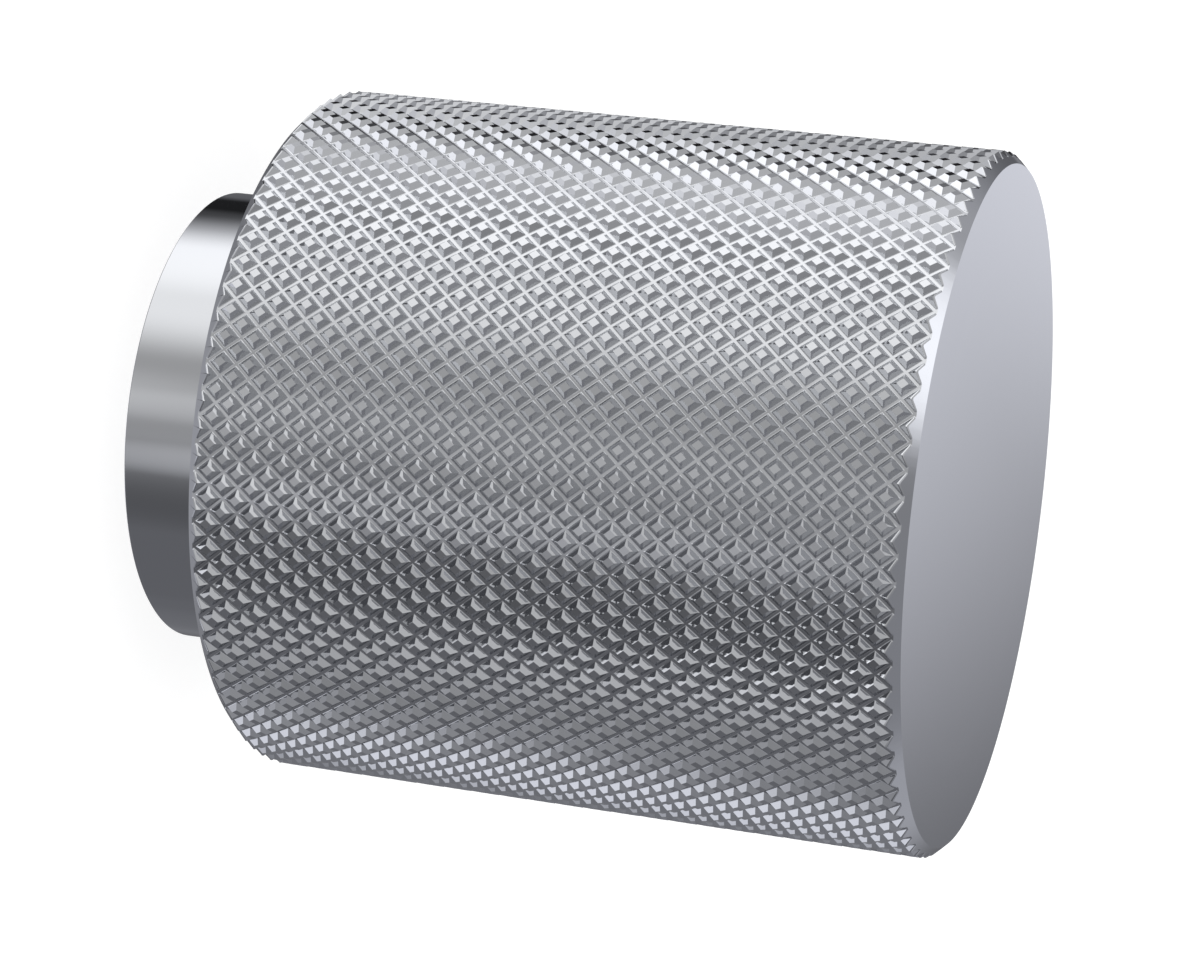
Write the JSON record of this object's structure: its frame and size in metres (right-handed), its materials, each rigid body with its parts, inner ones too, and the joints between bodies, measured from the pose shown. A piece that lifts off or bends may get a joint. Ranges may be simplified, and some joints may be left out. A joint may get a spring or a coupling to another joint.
{
  "type": "knurled knob",
  "caption": "Round knob turned in one piece, with a diamond-knurled cylindrical head, a smooth flat front, a narrower plain collar and a tapped blind hole in the back.",
  "frame": {"origin": "centre of the collar's back face, where the knob meets what it is screwed to", "axes": "+Z along the turning axis, from the collar to the front face of the head; X and Y across it"},
  "size_m": [0.03, 0.03, 0.035],
  "materials": {
    "turned_steel": "bright machined stainless steel: fine-turned and polished on the front face, chamfers and collar, crisp and bright in the knurl"
  },
  "bodies": {
    "root": {"knob": "turned_steel"}
  },
  "joints": []
}
